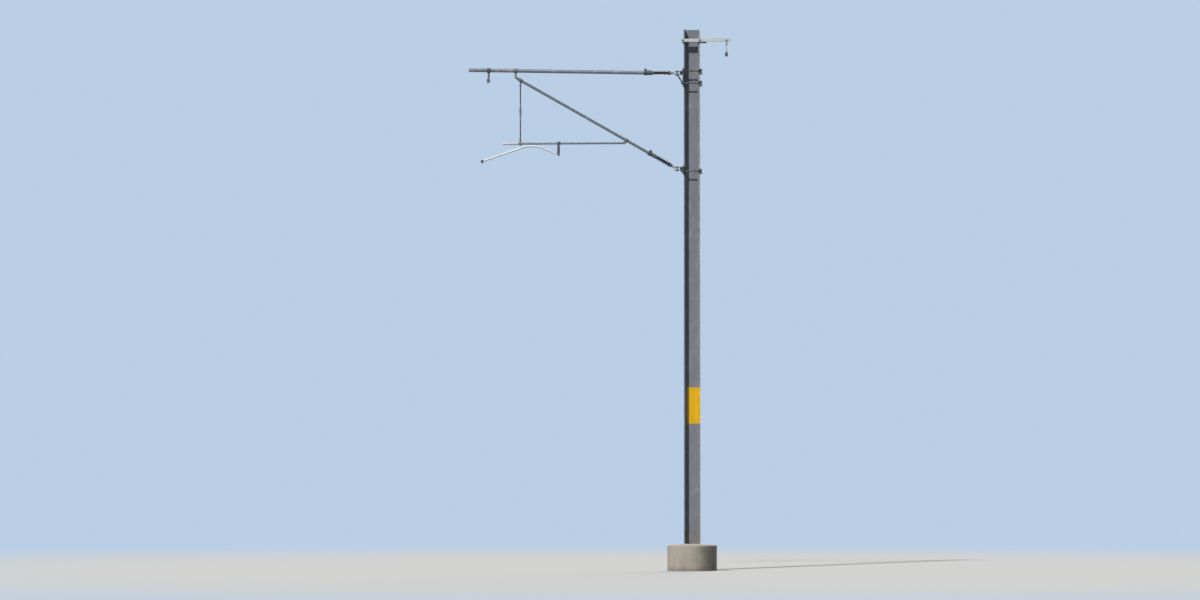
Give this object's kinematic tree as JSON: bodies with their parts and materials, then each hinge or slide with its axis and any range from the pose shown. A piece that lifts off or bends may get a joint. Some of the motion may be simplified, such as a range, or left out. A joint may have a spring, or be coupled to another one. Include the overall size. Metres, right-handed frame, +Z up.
{
  "type": "railway catenary mast",
  "caption": "Wide-flange steel railway catenary mast in a round concrete foundation, with a hinged tubular cantilever, a steady arm and a wire bracket near its top.",
  "frame": {"origin": "centre of the foundation's flat underside, at ground level", "axes": "+Z up along the post, Y along the track, -X towards the track, where the cantilever reaches"},
  "size_m": [4.1087, 0.77, 8.4],
  "materials": {
    "galvanised_post": "matt galvanised, with a painted yellow band",
    "galvanised_steel": "matt galvanised",
    "galvanised_tube": "matt galvanised",
    "pale_steel": "bright galvanised",
    "cast_fitting": "galvanised casting",
    "insulator_glaze": "dark brown glaze",
    "aluminium_arm": "satin",
    "bronze_clamp": "weathered",
    "concrete": "rough cast"
  },
  "bodies": {
    "mast": {"foundation": "concrete", "post": "galvanised_post", "upper_bracket": "galvanised_steel", "upper_clamp_bars": "galvanised_steel", "upper_clamp_rods": "galvanised_steel", "upper_swivel_pin": "galvanised_steel", "lower_bracket": "galvanised_steel", "lower_clamp_bar": "galvanised_steel", "lower_clamp_rods": "galvanised_steel", "lower_swivel_pin": "galvanised_steel", "crossarm": "pale_steel", "crossarm_back_bar": "galvanised_steel", "crossarm_rods": "galvanised_steel", "suspension_eye_bolt": "galvanised_steel"},
    "cantilever": {"upper_swivel_head": "cast_fitting", "upper_head_pin": "galvanised_steel", "upper_insulator_inner_cap": "cast_fitting", "upper_insulator": "insulator_glaze", "upper_insulator_socket": "cast_fitting", "top_tube": "galvanised_tube", "top_tube_plug": "cast_fitting", "lower_swivel_head": "cast_fitting", "lower_head_pin": "galvanised_steel", "lower_insulator_inner_cap": "cast_fitting", "lower_insulator": "insulator_glaze", "lower_insulator_socket": "cast_fitting", "strut": "galvanised_tube", "strut_eye": "cast_fitting", "strut_clamp": "cast_fitting", "strut_clamp_pin": "galvanised_steel", "registration_clamp": "cast_fitting", "registration_pin": "galvanised_steel", "registration_eye": "cast_fitting", "registration_tube": "galvanised_tube", "registration_sleeve": "pale_steel", "hanger_top_clamp": "cast_fitting", "hanger_rods": "galvanised_steel", "hanger_turnbuckle": "cast_fitting", "hanger_foot_clamp": "cast_fitting", "steady_bracket": "cast_fitting", "steady_pin": "galvanised_steel", "messenger_saddle": "cast_fitting"},
    "steady_arm": {"steady_eye": "aluminium_arm", "steady_arm": "aluminium_arm", "contact_wire_clamp": "bronze_clamp"},
    "messenger_clamp": {"messenger_link": "galvanised_steel", "messenger_clamp": "cast_fitting"},
    "wire_hanger": {"suspension_link": "galvanised_steel", "suspension_clamp": "cast_fitting"}
  },
  "joints": [
    {"name": "cantilever_swivel", "type": "hinge", "parent": "mast", "child": "cantilever", "pos_m": [-0.235, 0, 6.238], "axis": [0, 0, 1], "range_deg": [-90, 90]},
    {"name": "steady_arm_hinge", "type": "hinge", "parent": "cantilever", "child": "steady_arm", "pos_m": [-2.078, -0.052, 6.463], "axis": [0, 1, 0], "range_deg": [-75, 12]},
    {"name": "messenger_clamp_swing", "type": "hinge", "parent": "cantilever", "child": "messenger_clamp", "pos_m": [-3.178, 0, 7.73022], "axis": [0, 1, 0], "range_deg": [-45, 45]},
    {"name": "wire_hanger_swing", "type": "hinge", "parent": "mast", "child": "wire_hanger", "pos_m": [0.55, -0.149, 8.163], "axis": [0, 1, 0], "range_deg": [-60, 60]}
  ]
}
